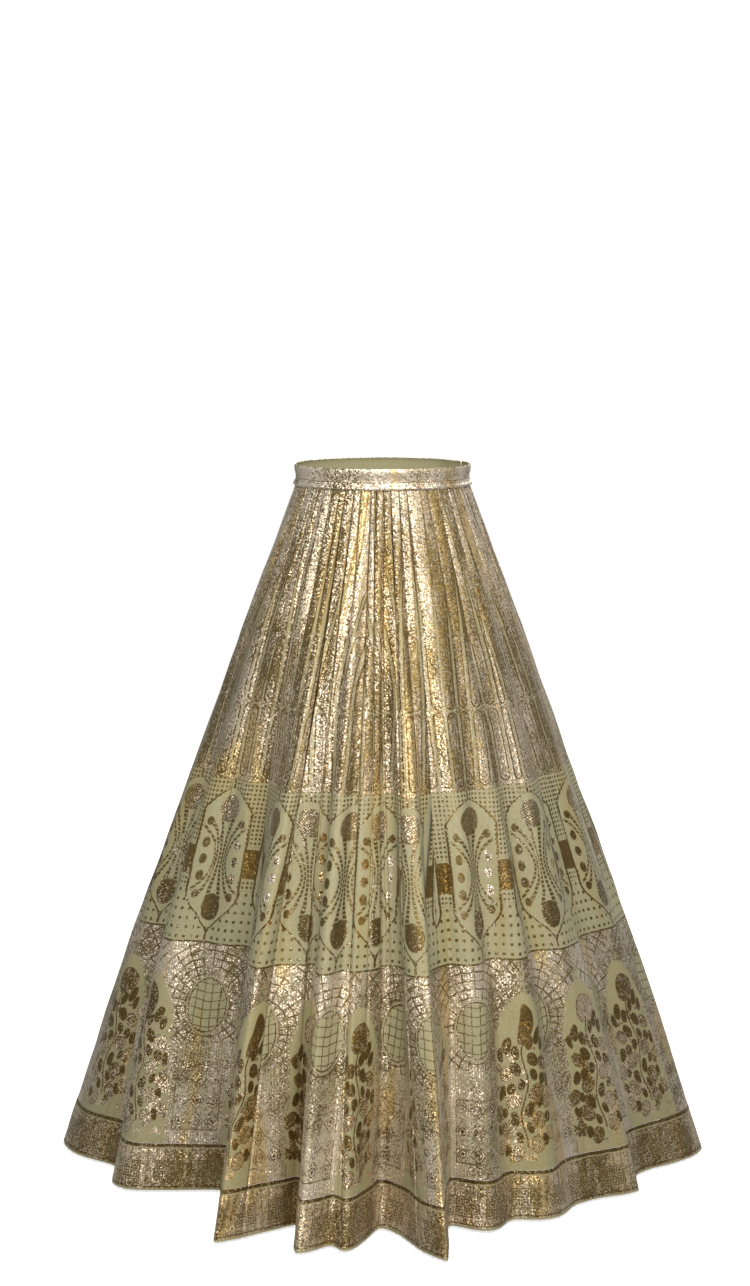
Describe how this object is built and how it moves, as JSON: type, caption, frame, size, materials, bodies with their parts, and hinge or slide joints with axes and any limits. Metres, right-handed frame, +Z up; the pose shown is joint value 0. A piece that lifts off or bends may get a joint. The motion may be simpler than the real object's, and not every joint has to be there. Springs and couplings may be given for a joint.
{
  "type": "lehenga skirt",
  "caption": "Full-length flared lehenga skirt, finely pleated into a narrow waistband and falling in large folds to a bordered hem; open and hollow, as it hangs when worn.",
  "frame": {"origin": "centre of the waist, at the middle of the waistband's height", "axes": "+Z up along the body, -Y to the wearer's front, +X to the wearer's left"},
  "size_m": [1.0416, 1.1079, 1.1155],
  "materials": {
    "foil_printed_cloth": "sage green silk cloth with a gold foil pattern",
    "gold_border": "gold foil over most of a sage green strip",
    "waistband_cloth": "pale gold foil on folded cloth, with a smooth rolled edge"
  },
  "bodies": {
    "root": {"panel_left": "foil_printed_cloth", "panel_front": "foil_printed_cloth", "panel_right": "foil_printed_cloth", "panel_back": "foil_printed_cloth", "border_left": "gold_border", "border_front": "gold_border", "border_right": "gold_border", "border_back": "gold_border", "waistband": "waistband_cloth"}
  },
  "joints": []
}
